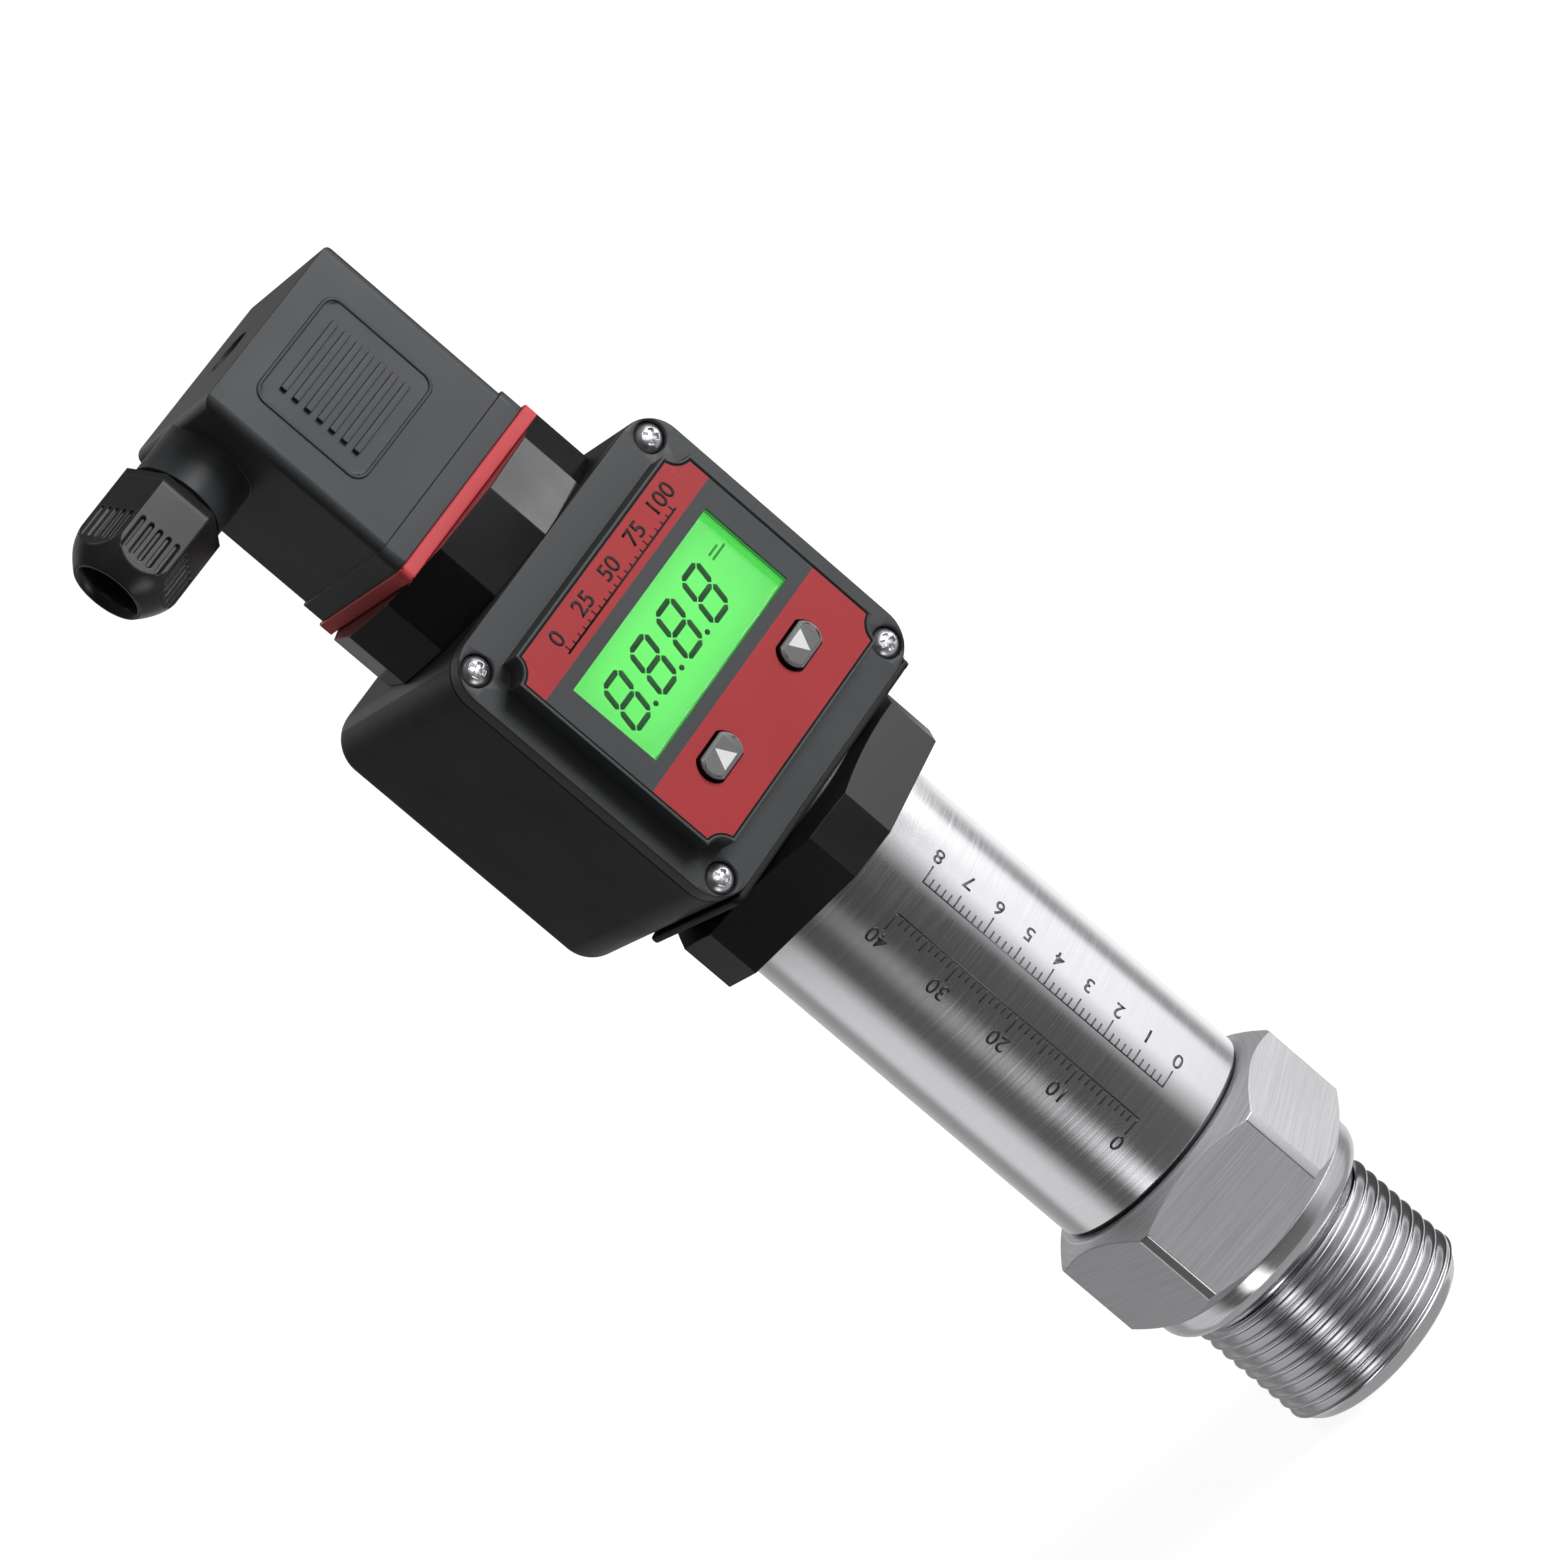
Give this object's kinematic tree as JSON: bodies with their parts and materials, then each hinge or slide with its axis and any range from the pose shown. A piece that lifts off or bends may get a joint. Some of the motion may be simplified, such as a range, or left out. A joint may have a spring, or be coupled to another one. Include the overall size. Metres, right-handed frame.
{
  "type": "pressure transmitter",
  "caption": "Screw-in pressure transmitter: steel hexagon and tube, square display head with press buttons, and an angled plug with a cable gland.",
  "frame": {"origin": "centre of the screwed end's face, which is the mouth of the pressure port", "axes": "+Z along the tube from the screwed end to the plug, -Y out of the display, -X out of the cable gland"},
  "size_m": [0.057, 0.0475, 0.194],
  "materials": {
    "turned_steel": "brushed on the flats, turned elsewhere",
    "polished_steel": "polished",
    "housing_black": "fine moulded grain",
    "plug_black": "fine moulded grain",
    "rubber_black": "smooth",
    "seal_red": "smooth",
    "label_print": "printed sheet, red and grey",
    "clear_pane": "clear",
    "display_green": "lit",
    "diffuser_white": "smooth",
    "board_green": "solder mask",
    "button_grey": "smooth",
    "switch_black": "moulded",
    "screw_steel": "bright",
    "contact_brass": "plated",
    "block_grey": "moulded"
  },
  "bodies": {
    "transmitter": {"process_fitting": "turned_steel", "sensor_cell": "turned_steel", "cell_seal": "rubber_black", "cell_ring": "turned_steel", "body_tube": "polished_steel", "board_holder": "block_grey", "amplifier_board": "board_green", "lower_adapter": "housing_black", "tube_seal": "rubber_black", "display_housing": "housing_black", "cover_seal": "rubber_black", "adapter_nut": "screw_steel", "socket_nut": "screw_steel", "front_cover": "housing_black", "cover_screws": "screw_steel", "face_label": "label_print", "window_pane": "clear_pane", "display_glass": "display_green", "backlight": "diffuser_white", "display_board": "board_green", "board_screws": "screw_steel", "tact_switches": "switch_black", "socket_base": "housing_black", "contact_blades": "contact_brass", "flat_seal": "seal_red", "plug_housing": "plug_black", "terminal_block": "block_grey", "clamp_screws": "screw_steel", "fixing_screw": "screw_steel", "fixing_seal": "rubber_black", "gland_seal": "rubber_black"},
    "button_up_key": {"button_up": "button_grey", "switch_stem_up": "switch_black"},
    "button_down_key": {"button_down": "button_grey", "switch_stem_down": "switch_black"},
    "gland_pressure_ring": {"gland_ring": "block_grey"},
    "gland_cap": {"gland_nut": "plug_black"}
  },
  "joints": [
    {"name": "button_up_press", "type": "slide", "parent": "transmitter", "child": "button_up_key", "axis": [0, 1, 0], "range_m": [0, 0.0005], "stiffness_N_per_m": 2000, "springref_m": -0.0003},
    {"name": "button_down_press", "type": "slide", "parent": "transmitter", "child": "button_down_key", "axis": [0, 1, 0], "range_m": [0, 0.0005], "stiffness_N_per_m": 2000, "springref_m": -0.0003},
    {"name": "gland_slide", "type": "slide", "parent": "transmitter", "child": "gland_pressure_ring", "axis": [-1, 0, 0], "range_m": [0, 0.003]},
    {"name": "gland_turn", "type": "hinge", "parent": "gland_pressure_ring", "child": "gland_cap", "pos_m": [-0.0275, 0, 0.18664], "axis": [-1, 0, 0], "range_deg": [0, 720]}
  ],
  "couplings": [
    {"joint": "gland_slide", "follows": "gland_turn", "m_per_rad": 0.00023872}
  ]
}
